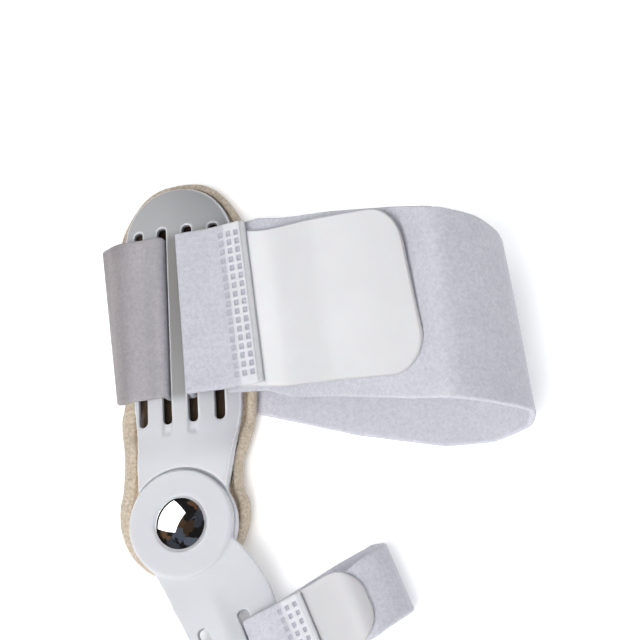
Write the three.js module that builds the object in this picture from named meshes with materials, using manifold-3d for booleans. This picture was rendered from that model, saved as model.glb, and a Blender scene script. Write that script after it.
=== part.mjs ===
// Hinged splint that straightens the big toe: two plastic plates on a rivet, a pad and two strap loops.
// Millimetres, +Z up. The splint lies on a table, pad down: the hub axis is vertical, the heel end is at +Y.
import * as THREE from 'three';
import { mergeVertices } from 'three/addons/utils/BufferGeometryUtils.js';
import Module from 'manifold-3d';

const wasm = await Module();
wasm.setup();

// Clearance between pieces that touch on the real object
const clearance = 0.3;

// Foot plate
const plateThickness = 2.5;
const plateHalfWidth = 17.4;
const plateCrownRadius = 50;
const neckRise = 1.6; // the neck stands above the slotted field, round the hub disc
const heelFall = 3; // the heel end curves down
const slotCount = 4;
const slotWidth = 2.9;
const slotPitch = 8.1;
const slotStart = 31;
const slotSlack = 10.2; // the slots are longer than the strap is wide
const heelLength = 13.3; // past the slots

// Hub
const hubRadius = 16.1;
const hubThickness = 2.8;
const knuckleMargin = 0.5; // the knuckle under the disc is a little larger
const recessMargin = 0.8; // gap round the disc, cut in the neck
const rivetRadius = 7.5;
const rivetHeight = 3;
const rivetRim = 0.6;
const shankRadius = 2.4;
const tailRadius = 5;
const tailThickness = 1.2;
const seatMargin = 0.8;
const seatDepth = 0.8;

// Toe plate
const toeAngle = THREE.MathUtils.degToRad(20); // from straight ahead, towards the loops
const armThickness = 2.5;
const armFaceDrop = 1.2; // the arm's face lies below the disc's face
const armHalfWidth = 14;
const armFall = 1.8; // further drop of the slotted part
const armCrownRadius = 50;
const toeSlotWidth = 3.4;
const toeSlotSpread = 13.2; // centre to centre
const toeSlotStart = 29.3;
const toeSlotSlack = 6.5;
const toeTipLength = 14.7; // past the slots

// Pad
const padThickness = 7.3; // in the middle, under the plate
const padMargin = 3.6; // beyond the plate's sides and heel
const padHubRadius = 20.6;
const padEdgeHeight = 3.8;
const padHubEdgeHeight = 6;

// Straps and their hook tabs
const strapThickness = 1.8;
const tabThickness = 1.2;
const strapWidth = 52;
const loopReach = 108; // hub axis to the loop's far end
const loopHeight = 46;
const tabLength = 66; // the part that shows past the strap's end
const tabLap = 8; // the part under the strap's end
const tabWidth = 49;
const tabCorner = 12;
const tabSkew = -0.17; // the tab is closed a little askew on the strap
const toeStrapWidth = 21.5;
const toeLoopReach = 50;
const toeLoopHeight = 19;
const toeTabLength = 19;
const toeTabLap = 7;
const toeTabWidth = 22;
const toeTabCorner = 9;
const endSkew = 3.8; // the strap's end is cut or folded aslant

// Lengths that follow from the straps
const slotLength = strapWidth + slotSlack;
const plateReach = slotStart + slotLength + heelLength; // hub axis to the heel tip
const toeSlotLength = toeStrapWidth + toeSlotSlack;
const armReach = toeSlotStart + toeSlotLength + toeTipLength; // hub axis to the toe tip

// Heights that follow from the stack on the table
const halfStrap = strapThickness / 2;
const padBottom = strapThickness + clearance;
const plateBottom = padBottom + padThickness + clearance;
const plateTop = plateBottom + plateThickness;
const hubBottom = plateTop + clearance;
const hubTop = hubBottom + hubThickness;
const armTop = hubTop - armFaceDrop;
const strapMiddle = slotStart + slotLength / 2 + 2.2; // the strap sits a little above the slots' middle
const toeStrapMiddle = toeSlotStart + toeSlotLength / 2 + 1;

const smooth = (value, from, to) => THREE.MathUtils.smoothstep(value, from, to);
const crownOf = (x, radius) => radius - Math.sqrt(radius * radius - x * x);

// Solids

function toManifold(geometry) {
  const bare = geometry.clone();
  bare.deleteAttribute('normal');
  bare.deleteAttribute('uv');
  const merged = mergeVertices(bare, 1e-4);
  const triangles = merged.index ? merged.index.array : merged.attributes.position.array.map((_, i) => i);
  const vertProperties = new Float32Array(merged.attributes.position.array);
  const triVerts = new Uint32Array(triangles);
  return new wasm.Manifold(new wasm.Mesh({ numProp: 3, vertProperties, triVerts }));
}

function toGeometry(manifold) {
  const mesh = manifold.getMesh();
  const geometry = new THREE.BufferGeometry();
  geometry.setAttribute('position', new THREE.BufferAttribute(new Float32Array(mesh.vertProperties), 3));
  geometry.setIndex(new THREE.BufferAttribute(new Uint32Array(mesh.triVerts), 1));
  geometry.computeVertexNormals();
  return geometry;
}

// A closed mesh from rings with equal numbers of points: u and v place a ring's points on its own cap
function loftRings(rings) {
  const count = rings[0].length;
  const positions = rings.flat().flatMap((p) => [p.x, p.y, p.z]);
  const index = [];
  for (let i = 0; i < rings.length - 1; i += 1) {
    const next = i + 1;
    for (let j = 0; j < count; j += 1) {
      const k = (j + 1) % count;
      index.push(i * count + j, i * count + k, next * count + k);
      index.push(i * count + j, next * count + k, next * count + j);
    }
  }
  const capOf = (ring) => {
    const contour = ring.map((p) => new THREE.Vector2(p.u, p.v));
    const turn = (a, b, c) => Math.sign((b.x - a.x) * (c.y - a.y) - (b.y - a.y) * (c.x - a.x));
    const way = Math.sign(THREE.ShapeUtils.area(contour));
    return THREE.ShapeUtils.triangulateShape(contour, []).map(([a, b, c]) => (
      turn(contour[a], contour[b], contour[c]) === way ? [a, b, c] : [a, c, b]));
  };
  for (const [a, b, c] of capOf(rings[0])) index.push(a, c, b);
  const last = (rings.length - 1) * count;
  for (const [a, b, c] of capOf(rings[rings.length - 1])) index.push(last + a, last + b, last + c);
  const geometry = new THREE.BufferGeometry();
  geometry.setAttribute('position', new THREE.Float32BufferAttribute(positions, 3));
  geometry.setIndex(index);
  return geometry;
}

// A slab over a grid in X and Y, between two height functions
function curvedSlab(xs, ys, topOf, bottomOf) {
  const positions = [];
  const index = [];
  const columns = xs.length;
  const layer = columns * ys.length;
  for (const heightOf of [bottomOf, topOf]) {
    for (const y of ys) {
      for (const x of xs) positions.push(x, y, heightOf(x, y));
    }
  }
  const quad = (a, b, c, d) => index.push(a, b, c, a, c, d);
  for (let j = 0; j < ys.length - 1; j += 1) {
    for (let i = 0; i < columns - 1; i += 1) {
      const a = j * columns + i;
      quad(a, a + columns, a + columns + 1, a + 1);
      quad(layer + a, layer + a + 1, layer + a + columns + 1, layer + a + columns);
    }
  }
  for (let i = 0; i < columns - 1; i += 1) {
    const far = (ys.length - 1) * columns + i;
    quad(i, i + 1, layer + i + 1, layer + i);
    quad(far + 1, far, layer + far, layer + far + 1);
  }
  for (let j = 0; j < ys.length - 1; j += 1) {
    const near = j * columns;
    const right = near + columns - 1;
    quad(near + columns, near, layer + near, layer + near + columns);
    quad(right, right + columns, layer + right + columns, layer + right);
  }
  const geometry = new THREE.BufferGeometry();
  geometry.setAttribute('position', new THREE.Float32BufferAttribute(positions, 3));
  geometry.setIndex(index);
  return toManifold(geometry);
}

function span(from, to, count) {
  return Array.from({ length: count + 1 }, (_, i) => from + ((to - from) * i) / count);
}

function prism(shape, from, to) {
  const settings = { depth: to - from, bevelEnabled: false, curveSegments: 6 };
  const geometry = new THREE.ExtrudeGeometry(shape, settings);
  geometry.translate(0, 0, from);
  return toManifold(geometry);
}

// A round solid about the Z axis: profile points are [radius, height], from the axis back to the axis
function turned(profile) {
  const points = profile.map(([radius, height]) => new THREE.Vector2(radius, height));
  const geometry = new THREE.LatheGeometry(points, 56);
  geometry.rotateX(Math.PI / 2);
  return toManifold(geometry);
}

const disc = (radius, from, to) => turned([[0, from], [radius, from], [radius, to], [0, to]]);

function longHole(x, y, width, length) {
  const round = width * 0.4;
  const half = width / 2;
  const hole = new THREE.Shape();
  hole.moveTo(x - half, y + round);
  hole.lineTo(x - half, y + length - round);
  hole.quadraticCurveTo(x - half, y + length, x - half + round, y + length);
  hole.lineTo(x + half - round, y + length);
  hole.quadraticCurveTo(x + half, y + length, x + half, y + length - round);
  hole.lineTo(x + half, y + round);
  hole.quadraticCurveTo(x + half, y, x + half - round, y);
  hole.lineTo(x - half + round, y);
  hole.quadraticCurveTo(x - half, y, x - half, y + round);
  return prism(hole, 0, hubTop);
}

// An outline through hand-placed points, sampled as a smooth curve
function smoothOutline(points, samples, closed) {
  const knots = points.map(([x, y]) => new THREE.Vector3(x, y, 0));
  const curve = new THREE.CatmullRomCurve3(knots, closed, 'centripetal');
  return curve.getSpacedPoints(samples).map((p) => new THREE.Vector2(p.x, p.y));
}

// Foot plate

const plateCrown = (x, y) => crownOf(x, plateCrownRadius) * smooth(y, hubRadius * 0.9, slotStart + 6);
const heelDrop = (y) => heelFall * Math.max(0, (y / plateReach - 0.83) / 0.17) ** 2;
const plateFace = (x, y) => plateTop - plateCrown(x, y) - heelDrop(y);
const plateUnder = (x, y) => plateFace(x, y) - plateThickness;
const neckFace = (x, y) => plateFace(x, y) + neckRise * (1 - smooth(y, hubRadius + 2, slotStart - 2));

// Half outlines of the foot plate: at is a share of plateReach, left and right are shares of plateHalfWidth
const plateSides = [
  { at: 0.1, left: 0.85, right: 0.72 },
  { at: 0.14, left: 0.85, right: 0.79 },
  { at: 0.22, left: 0.86, right: 0.9 },
  { at: 0.32, left: 0.91, right: 1.03 },
  { at: 0.5, left: 0.96, right: 1.05 },
  { at: 0.72, left: 0.98, right: 1.03 },
  { at: 0.86, left: 0.97, right: 1.01 },
  { at: 0.92, left: 0.84, right: 0.87 },
  { at: 0.97, left: 0.58, right: 0.6 },
  { at: 0.995, left: 0.24, right: 0.26 },
];

function plateOutline(grow) {
  const side = (row, share, sign) => {
    const x = sign * share * plateHalfWidth;
    const y = row.at * plateReach;
    const heel = smooth(row.at, 0.84, 1);
    return [x + sign * grow * (1 - heel * 0.6), y + grow * heel];
  };
  const right = plateSides.map((row) => side(row, row.right, 1));
  const left = plateSides.map((row) => side(row, row.left, -1)).reverse();
  return { right, left };
}

function makeFootPlate() {
  const { right, left } = plateOutline(0);
  const start = new THREE.Vector2(right[0][0], 0);
  const end = new THREE.Vector2(left[left.length - 1][0], 0);
  const shape = new THREE.Shape([start, ...smoothOutline([...right, ...left], 84, false), end]);
  const reach = plateHalfWidth * 1.4;
  const ys = [-2, hubRadius * 0.9, 17, 20, 23, 26, 29, 33, 37, ...span(44, plateReach * 0.83, 4),
    ...span(plateReach * 0.86, plateReach + 3, 6)];
  const slab = curvedSlab(span(-reach, reach, 14), ys, neckFace, plateUnder);
  const knuckle = disc(hubRadius + knuckleMargin, plateBottom, plateTop);
  const recess = disc(hubRadius + recessMargin, plateTop, hubTop + 5);
  const bore = disc(shankRadius + clearance, 0, hubTop);
  let plate = slab.intersect(prism(shape, 0, hubTop + 5)).subtract(recess).add(knuckle).subtract(bore);
  for (let i = 0; i < slotCount; i += 1) {
    plate = plate.subtract(longHole((i - (slotCount - 1) / 2) * slotPitch, slotStart, slotWidth, slotLength));
  }
  return toGeometry(plate);
}

// Toe plate: v runs across the arm, u from the hub to the toe tip

const armFace = (v, u) => {
  const slope = smooth(u, hubRadius + 5, toeSlotStart + 3);
  return armTop - armFall * slope - crownOf(v, armCrownRadius) * slope;
};
const armUnder = (v, u) => armFace(v, u) - armThickness;

// Half outlines of the arm: at is a share of armReach, left and right are shares of armHalfWidth
const armSides = [
  { at: 0.12, left: 0.96, right: 0.86 },
  { at: 0.16, left: 0.92, right: 0.95 },
  { at: 0.23, left: 0.87, right: 1.09 },
  { at: 0.3, left: 0.84, right: 1.18 },
  { at: 0.38, left: 0.82, right: 1.2 },
  { at: 0.46, left: 0.81, right: 1.14 },
  { at: 0.6, left: 0.81, right: 1.04 },
  { at: 0.78, left: 0.79, right: 0.96 },
  { at: 0.89, left: 0.65, right: 0.78 },
  { at: 0.96, left: 0.38, right: 0.5 },
  { at: 0.995, left: 0.08, right: 0.18 },
];

function makeToePlate() {
  const right = armSides.map((row) => [row.right * armHalfWidth, row.at * armReach]);
  const left = armSides.map((row) => [-row.left * armHalfWidth, row.at * armReach]).reverse();
  const start = new THREE.Vector2(right[0][0], 0);
  const end = new THREE.Vector2(left[left.length - 1][0], 0);
  const shape = new THREE.Shape([start, ...smoothOutline([...right, ...left], 72, false), end]);
  const reach = armHalfWidth * 1.5;
  const us = [-1, hubRadius, hubRadius + 5, 24, 27, 30, toeSlotStart + 3, ...span(42, armReach + 2, 4)];
  const slab = curvedSlab(span(-reach, reach, 12), us, armFace, armUnder);
  const clear = disc(hubRadius + knuckleMargin + clearance * 2, 0, hubBottom);
  const hub = turned([[0, hubBottom], [hubRadius, hubBottom], [hubRadius, hubTop - 0.6],
    [hubRadius - 0.2, hubTop - 0.2], [hubRadius - 0.6, hubTop], [0, hubTop]]);
  const seat = disc(rivetRadius + seatMargin, hubTop - seatDepth, hubTop + 2);
  const bore = disc(shankRadius + clearance, 0, hubTop + 2);
  const arm = slab.intersect(prism(shape, 0, hubTop + 5)).subtract(clear);
  let plate = arm.add(hub).subtract(seat).subtract(bore);
  for (const side of [-0.5, 0.5]) {
    plate = plate.subtract(longHole(side * toeSlotSpread, toeSlotStart, toeSlotWidth, toeSlotLength));
  }
  return toGeometry(plate);
}

// Rivet: dome, shank and the flat tail under the knuckle

function makeRivet() {
  const headBottom = hubTop - seatDepth + clearance;
  const cap = rivetHeight - rivetRim;
  const capRadius = (rivetRadius * rivetRadius + cap * cap) / (2 * cap);
  const tailTop = plateBottom - clearance;
  const tailBottom = tailTop - tailThickness;
  const profile = [[0, tailBottom], [tailRadius, tailBottom], [tailRadius, tailTop], [shankRadius, tailTop],
    [shankRadius, headBottom], [rivetRadius, headBottom]];
  const fullAngle = Math.asin(rivetRadius / capRadius);
  for (const share of span(1, 0, 8)) {
    const angle = fullAngle * share;
    profile.push([capRadius * Math.sin(angle), headBottom + rivetHeight - capRadius * (1 - Math.cos(angle))]);
  }
  profile[profile.length - 1][0] = 0;
  return toGeometry(turned(profile));
}

// Pad: rings from the flat underside round the rolled edge to the top, which follows the plate

const padHub = { x: -1.9, y: 4.6, from: -208, to: 20 }; // centre of the round end, and its arc in degrees

function padOutline(samples) {
  const { right, left } = plateOutline(padMargin);
  const arcOf = (degrees) => {
    const angle = THREE.MathUtils.degToRad(degrees);
    return [padHub.x + padHubRadius * Math.cos(angle), padHub.y + padHubRadius * Math.sin(angle)];
  };
  const hubArc = span(padHub.from, padHub.to, 14).map(arcOf);
  const above = ([, y]) => y > padHub.y + padHubRadius * 0.78;
  const points = [...hubArc, ...right.filter(above), ...left.filter(above)];
  return smoothOutline(points, samples, true).slice(0, -1);
}

function makePad() {
  const outline = padOutline(84);
  const spineEnd = plateReach - plateHalfWidth;
  const towards = (point, share) => {
    const spine = new THREE.Vector2(0, THREE.MathUtils.clamp(point.y, padHub.y, spineEnd));
    return spine.lerp(point, share);
  };
  const edgeTop = (point) => {
    const hub = 1 - smooth(point.y, padHub.y + padHubRadius, slotStart);
    return padBottom + THREE.MathUtils.lerp(padEdgeHeight, padHubEdgeHeight, hub);
  };
  const widest = plateHalfWidth * Math.max(...plateSides.map((row) => row.right));
  const roofOf = (p) => plateUnder(THREE.MathUtils.clamp(p.x, -widest, widest), p.y) - clearance * 1.6;
  const roll = padEdgeHeight / 2;
  const inset = roll / plateHalfWidth;
  const rings = [];
  const addRing = (share, heightOf) => rings.push(outline.map((point) => {
    const p = towards(point, share);
    return { x: p.x, y: p.y, z: heightOf(p, point), u: p.x, v: p.y };
  }));
  addRing(0.55, () => padBottom);
  for (const degrees of span(-90, 90, 6)) {
    const angle = THREE.MathUtils.degToRad(degrees);
    addRing(1 - inset * (1 - Math.cos(angle)), (p, point) => {
      const top = edgeTop(point);
      return (padBottom + top) / 2 + ((top - padBottom) / 2) * Math.sin(angle);
    });
  }
  for (const share of [0.76, 0.5, 0.25]) addRing(share, (p) => roofOf(p));
  const body = toManifold(loftRings(rings));
  const behindBar = plateBottom - clearance * 2 - strapThickness;
  const channelHalf = slotPitch / 2 + slotWidth;
  const channel = new THREE.Shape();
  channel.moveTo(-channelHalf, strapMiddle - strapWidth * 0.53);
  channel.lineTo(channelHalf, strapMiddle - strapWidth * 0.53);
  channel.lineTo(channelHalf, strapMiddle + strapWidth * 0.53);
  channel.lineTo(-channelHalf, strapMiddle + strapWidth * 0.53);
  const tailRecess = disc(tailRadius + clearance * 2, plateBottom - tailThickness - clearance * 2, hubTop);
  return toGeometry(body.subtract(prism(channel, behindBar - clearance, hubTop)).subtract(tailRecess));
}

// Straps: a flat band swept along a path of straight runs and round bends in the XZ plane

// Rows hold x and z of the band's middle, the bend radius there, the Y of its low and high edges, and the
// lean, how far the high edge is moved along X
function bentPath(rows) {
  const samples = [];
  const edge = (a, b, share) => ({
    low: THREE.MathUtils.lerp(a.low, b.low, share),
    high: THREE.MathUtils.lerp(a.high, b.high, share),
    lean: THREE.MathUtils.lerp(a.lean ?? 0, b.lean ?? 0, share),
  });
  rows.forEach((row, i) => {
    const here = new THREE.Vector2(row.x, row.z);
    if (i === 0 || i === rows.length - 1) {
      samples.push({ x: row.x, z: row.z, ...edge(row, row, 0) });
      return;
    }
    const before = new THREE.Vector2(rows[i - 1].x, rows[i - 1].z);
    const after = new THREE.Vector2(rows[i + 1].x, rows[i + 1].z);
    const back = before.clone().sub(here);
    const ahead = after.clone().sub(here);
    const turn = Math.PI - back.angleTo(ahead);
    const cut = Math.min(row.bend * Math.tan(turn / 2), back.length() * 0.49, ahead.length() * 0.49);
    const from = here.clone().addScaledVector(back.clone().normalize(), cut);
    const to = here.clone().addScaledVector(ahead.clone().normalize(), cut);
    const steps = Math.max(1, Math.ceil(turn / 0.32));
    for (let k = 0; k <= steps; k += 1) {
      const t = k / steps;
      const x = (1 - t) ** 2 * from.x + 2 * t * (1 - t) * here.x + t * t * to.x;
      const z = (1 - t) ** 2 * from.y + 2 * t * (1 - t) * here.y + t * t * to.y;
      const along = t < 0.5
        ? edge(rows[i - 1], row, 1 - (cut / back.length()) * (1 - 2 * t))
        : edge(row, rows[i + 1], (cut / ahead.length()) * (2 * t - 1));
      samples.push({ x, z, ...along });
    }
  });
  const apart = (a, b) => Math.hypot(a.x - b.x, a.z - b.z) > 0.05;
  return samples.filter((sample, i) => i === 0 || apart(sample, samples[i - 1]));
}

function sweepBand(samples, thickness) {
  const half = thickness / 2;
  const rings = samples.map((s, i) => {
    const a = samples[Math.max(0, i - 1)];
    const b = samples[Math.min(samples.length - 1, i + 1)];
    const tangent = new THREE.Vector2(b.x - a.x, b.z - a.z).normalize();
    const nx = -tangent.y * half;
    const nz = tangent.x * half;
    const corner = (y, sign, lean) => ({
      x: s.x + sign * nx + lean, y, z: s.z + sign * nz, u: sign * half, v: y,
    });
    return [corner(s.low, -1, 0), corner(s.high, -1, s.lean), corner(s.high, 1, s.lean), corner(s.low, 1, 0)];
  });
  return loftRings(rings);
}

// Every loop has the same build: end A with its tab lies on end B; between them the band goes down the near
// slot, behind the bar, up the far slot, over the plate's left side, under the pad and round the loop
function strapRows(spec) {
  const over = (x) => spec.face(x) + clearance + halfStrap;
  const behind = spec.under(spec.slotRight) - clearance - halfStrap;
  const tableZ = halfStrap;
  const endB = (x) => spec.endBase + (x - spec.endStart) * spec.endSlope;
  const endA = (x) => endB(x) + strapThickness + tabThickness + clearance * 3.5;
  const across = (share) => spec.middle + share * spec.width;
  const edges = (low, high) => ({ low: across(low), high: across(high) });
  const seated = edges(-0.49, 0.49);
  const rows = [
    { x: spec.endTip, z: endA(spec.endTip), bend: 1, lean: spec.endLean, ...seated },
    { x: spec.endStart, z: endA(spec.endStart), bend: 8, lean: spec.endLean, ...seated },
    { x: spec.slotRight + 1.5, z: over(spec.slotRight) + 0.5, bend: 5, ...seated },
    { x: spec.slotRight, z: over(spec.slotRight) + 0.1, bend: 1.3, ...seated },
    { x: spec.slotRight, z: behind, bend: 1.3, ...seated },
    { x: spec.slotLeft, z: behind, bend: 1.3, ...seated },
    { x: spec.slotLeft, z: over(spec.slotLeft) + 0.2, bend: 1.3, ...seated },
    ...spec.leftWrap.map((row) => ({ ...row, ...edges(row.low, row.high) })),
    ...spec.loop.map((row) => ({
      x: row.across * spec.reach,
      z: tableZ + row.rise * (spec.height - strapThickness),
      bend: row.bend,
      lean: row.lean,
      ...edges(row.low, row.high),
    })),
    { x: spec.endTip, z: endB(spec.endTip), bend: 12, ...edges(spec.lastLow, spec.lastHigh) },
    { x: spec.endStart, z: endB(spec.endStart), bend: 3, ...edges(-0.5, 0.5) },
  ];
  return rows;
}

// Main strap: across is a share of loopReach, rise of loopHeight, low and high of strapWidth, from its middle
const mainLoop = [
  { across: -0.1, rise: 0, bend: 4, low: -0.49, high: 0.49 },
  { across: 0.2, rise: 0, bend: 30, low: -0.6, high: 0.44 },
  { across: 0.48, rise: 0, bend: 30, low: -0.79, high: 0.25 },
  { across: 0.72, rise: 0, bend: 26, low: -0.91, high: 0.13 },
  { across: 0.86, rise: 0.07, bend: 22, low: -0.93, high: 0.11 },
  { across: 0.975, rise: 0.32, bend: 9, low: -0.91, high: 0.12, lean: -3 },
  { across: 1, rise: 0.53, bend: 5, low: -0.87, high: 0.14, lean: -3.6 },
  { across: 0.94, rise: 0.83, bend: 16, low: -0.87, high: 0.18, lean: -2 },
  { across: 0.84, rise: 1.03, bend: 9, low: -0.85, high: 0.2 },
  { across: 0.7, rise: 0.88, bend: 40, low: -0.79, high: 0.28 },
  { across: 0.5, rise: 0.62, bend: 40, low: -0.68, high: 0.39 },
  { across: 0.33, rise: 0.34, bend: 30, low: -0.59, high: 0.48 },
];

// Toe strap: the same columns, as shares of toeLoopReach, toeLoopHeight and toeStrapWidth
const toeLoop = [
  { across: -0.16, rise: 0, bend: 3, low: -0.52, high: 0.48 },
  { across: 0.25, rise: 0, bend: 20, low: -0.62, high: 0.4 },
  { across: 0.7, rise: 0, bend: 12, low: -0.75, high: 0.36 },
  { across: 0.95, rise: 0.05, bend: 6, low: -0.78, high: 0.3 },
  { across: 1.02, rise: 0.45, bend: 6, low: -0.66, high: 0.32 },
  { across: 0.98, rise: 0.98, bend: 4, low: -0.56, high: 0.42 },
  { across: 0.8, rise: 0.98, bend: 16, low: -0.46, high: 0.5 },
];

const padLeft = plateHalfWidth * 0.96 + padMargin;
const sideX = -(padLeft + clearance * 2 + halfStrap);
const mainSpec = {
  face: (x) => plateFace(x, strapMiddle),
  under: (x) => plateUnder(x, strapMiddle),
  slotRight: slotPitch / 2,
  slotLeft: -slotPitch / 2,
  middle: strapMiddle,
  width: strapWidth,
  reach: loopReach,
  height: loopHeight,
  endStart: 15.5,
  endTip: 28.5,
  endLean: -endSkew,
  endBase: plateFace(15, strapMiddle) + clearance + halfStrap,
  endSlope: 0.27,
  lastLow: -0.53,
  lastHigh: 0.51,
  loop: mainLoop,
  leftWrap: [
    { x: -plateHalfWidth * 0.62, z: plateFace(11, strapMiddle) + 1.6, bend: 30, low: -0.49, high: 0.49 },
    { x: -plateHalfWidth, z: plateFace(17, strapMiddle) + 2, bend: 8, low: -0.485, high: 0.5, lean: -1.2 },
    { x: sideX - 0.3, z: padBottom + padEdgeHeight + 0.3, bend: 4, low: -0.47, high: 0.5, lean: -3.2 },
    { x: sideX, z: padBottom - 0.2, bend: 2.4, low: -0.46, high: 0.5, lean: -2.6 },
    { x: sideX + 2.6, z: halfStrap, bend: 2.4, low: -0.47, high: 0.5 },
  ],
};

const toeSpec = {
  face: (v) => armFace(v, toeStrapMiddle),
  under: (v) => armUnder(v, toeStrapMiddle),
  slotRight: toeSlotSpread / 2,
  slotLeft: -toeSlotSpread / 2,
  middle: toeStrapMiddle,
  width: toeStrapWidth,
  reach: toeLoopReach,
  height: toeLoopHeight,
  endStart: 16.5,
  endTip: 25.5,
  endLean: 0,
  endBase: armFace(16, toeStrapMiddle) + clearance + halfStrap + 0.6,
  endSlope: 0.16,
  lastLow: -0.5,
  lastHigh: 0.5,
  loop: toeLoop,
  leftWrap: [
    { x: -armHalfWidth * 0.7, z: armFace(10, toeStrapMiddle) + 1.9, bend: 3, low: -0.5, high: 0.5 },
    { x: -armHalfWidth * 1.03, z: armFace(11, toeStrapMiddle), bend: 2.6, low: -0.5, high: 0.5 },
    { x: -armHalfWidth * 1.05, z: halfStrap + 2.4, bend: 3, low: -0.5, high: 0.5 },
  ],
};

// Hook tab: a thin plate on the loop strap, with round corners at its free end
function makeTab(spec, rows, { lap, length, width, corner, skew }) {
  const path = bentPath(rows.slice(-2 - spec.loop.length)).reverse();
  const lift = halfStrap + clearance * 1.5 + tabThickness / 2;
  const lifted = path.map((s, i) => {
    const a = path[Math.max(0, i - 1)];
    const b = path[Math.min(path.length - 1, i + 1)];
    const tangent = new THREE.Vector2(b.x - a.x, b.z - a.z).normalize();
    return new THREE.Vector3(s.x - tangent.y * lift, (s.low + s.high) / 2, s.z + tangent.x * lift);
  });
  const curve = new THREE.CatmullRomCurve3(lifted, false, 'centripetal');
  const total = curve.getLength();
  const start = spec.endTip - spec.endStart - lap;
  const samples = [];
  for (const share of span(0, 1, 26)) {
    const eased = 1 - (1 - share) ** 1.6;
    const along = eased * (lap + length);
    const left = lap + length - along;
    const past = Math.max(0, corner - left);
    const narrow = corner - Math.sqrt(Math.max(0, corner ** 2 - past ** 2));
    const p = curve.getPointAt((start + along) / total);
    const middle = spec.middle + skew * (p.x - spec.endStart);
    samples.push({ x: p.x, z: p.z, low: middle - width / 2 + narrow, high: middle + width / 2 - narrow,
      lean: spec.endLean });
  }
  return sweepBand(samples, tabThickness);
}

const mainStrap = strapRows(mainSpec);
const toeStrap = strapRows(toeSpec);
const mainTab = { lap: tabLap, length: tabLength, width: tabWidth, corner: tabCorner, skew: tabSkew };
const toeTab = { lap: toeTabLap, length: toeTabLength, width: toeTabWidth, corner: toeTabCorner, skew: 0 };

// Assembly

const colours = { plate: 0xd5d7dd, strap: 0xdcdce6, tab: 0xe8e7e8, pad: 0xcdb896, chrome: 0xd9dadd };
const part = new THREE.Group();
const toe = new THREE.Group();
toe.rotation.z = toeAngle;

function addPiece(group, name, geometry, colour, roughness, metalness = 0) {
  const material = new THREE.MeshStandardMaterial({ color: colour, roughness, metalness });
  const mesh = new THREE.Mesh(geometry, material);
  mesh.name = name;
  group.add(mesh);
}

// The arm is drawn along +Y and turned round to run from the hub to the toes
const flipAcross = new THREE.Matrix4().makeScale(1, -1, 1);
function mirrored(geometry) {
  const flipped = geometry.clone().applyMatrix4(flipAcross);
  const order = Array.from(flipped.index.array);
  for (let i = 0; i < order.length; i += 3) [order[i + 1], order[i + 2]] = [order[i + 2], order[i + 1]];
  flipped.setIndex(order);
  return flipped;
}

addPiece(part, 'foot_plate', makeFootPlate(), colours.plate, 0.45);
addPiece(part, 'pad', makePad(), colours.pad, 0.95);
addPiece(part, 'main_strap', sweepBand(bentPath(mainStrap), strapThickness), colours.strap, 0.9);
addPiece(part, 'main_tab', makeTab(mainSpec, mainStrap, mainTab), colours.tab, 0.5);
addPiece(part, 'rivet', makeRivet(), colours.chrome, 0.1, 1);
addPiece(toe, 'toe_plate', mirrored(makeToePlate()), colours.plate, 0.45);
addPiece(toe, 'toe_strap', mirrored(sweepBand(bentPath(toeStrap), strapThickness)), colours.strap, 0.9);
addPiece(toe, 'toe_tab', mirrored(makeTab(toeSpec, toeStrap, toeTab)), colours.tab, 0.5);
part.add(toe);

// The origin is the middle of the footprint, on the table
const extent = new THREE.Box3().setFromObject(part, true);
part.position.set(-(extent.min.x + extent.max.x) / 2, -(extent.min.y + extent.max.y) / 2, -extent.min.z);

export default part;
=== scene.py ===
# A hinged toe splint lying pad down on a pale floor. Its pieces are built round the hub axis in
# millimetres, x towards the loops and y towards the heel, and then placed on the frame in metres.
import math

import bmesh
import bpy
import numpy as np
from mathutils import Matrix, Vector, kdtree


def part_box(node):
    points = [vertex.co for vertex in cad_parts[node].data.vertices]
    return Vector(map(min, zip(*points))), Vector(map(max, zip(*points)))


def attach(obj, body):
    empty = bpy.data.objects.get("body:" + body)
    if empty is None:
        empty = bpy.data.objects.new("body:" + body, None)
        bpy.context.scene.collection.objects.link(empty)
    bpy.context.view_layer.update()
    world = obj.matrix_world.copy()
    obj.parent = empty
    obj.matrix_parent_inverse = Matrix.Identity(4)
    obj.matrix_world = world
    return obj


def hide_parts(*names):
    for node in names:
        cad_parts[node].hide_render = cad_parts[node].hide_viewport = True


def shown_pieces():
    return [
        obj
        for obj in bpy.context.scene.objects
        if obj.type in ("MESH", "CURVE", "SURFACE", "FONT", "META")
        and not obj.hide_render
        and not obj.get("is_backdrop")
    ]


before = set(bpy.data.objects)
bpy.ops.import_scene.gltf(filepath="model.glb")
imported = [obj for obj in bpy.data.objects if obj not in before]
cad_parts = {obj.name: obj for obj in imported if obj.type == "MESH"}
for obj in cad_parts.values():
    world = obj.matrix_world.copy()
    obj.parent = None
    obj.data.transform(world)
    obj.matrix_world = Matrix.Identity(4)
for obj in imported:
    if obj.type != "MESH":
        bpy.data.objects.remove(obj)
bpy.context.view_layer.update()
mm = 0.001
rivetLow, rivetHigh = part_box("rivet")
hubPoint = Vector(((rivetLow.x + rivetHigh.x) / 2, (rivetLow.y + rivetHigh.y) / 2, 0))

stack = {  # heights above the table
    "clearance": 0.3, "strap": 1.8, "padBottom": 2.1, "plateBottom": 9.7, "plateTop": 12.2,
    "hubBottom": 12.5, "hubTop": 15.3, "armTop": 14.1,
    "padLow": 2.12,  # the dressed pad's underside
}

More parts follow.
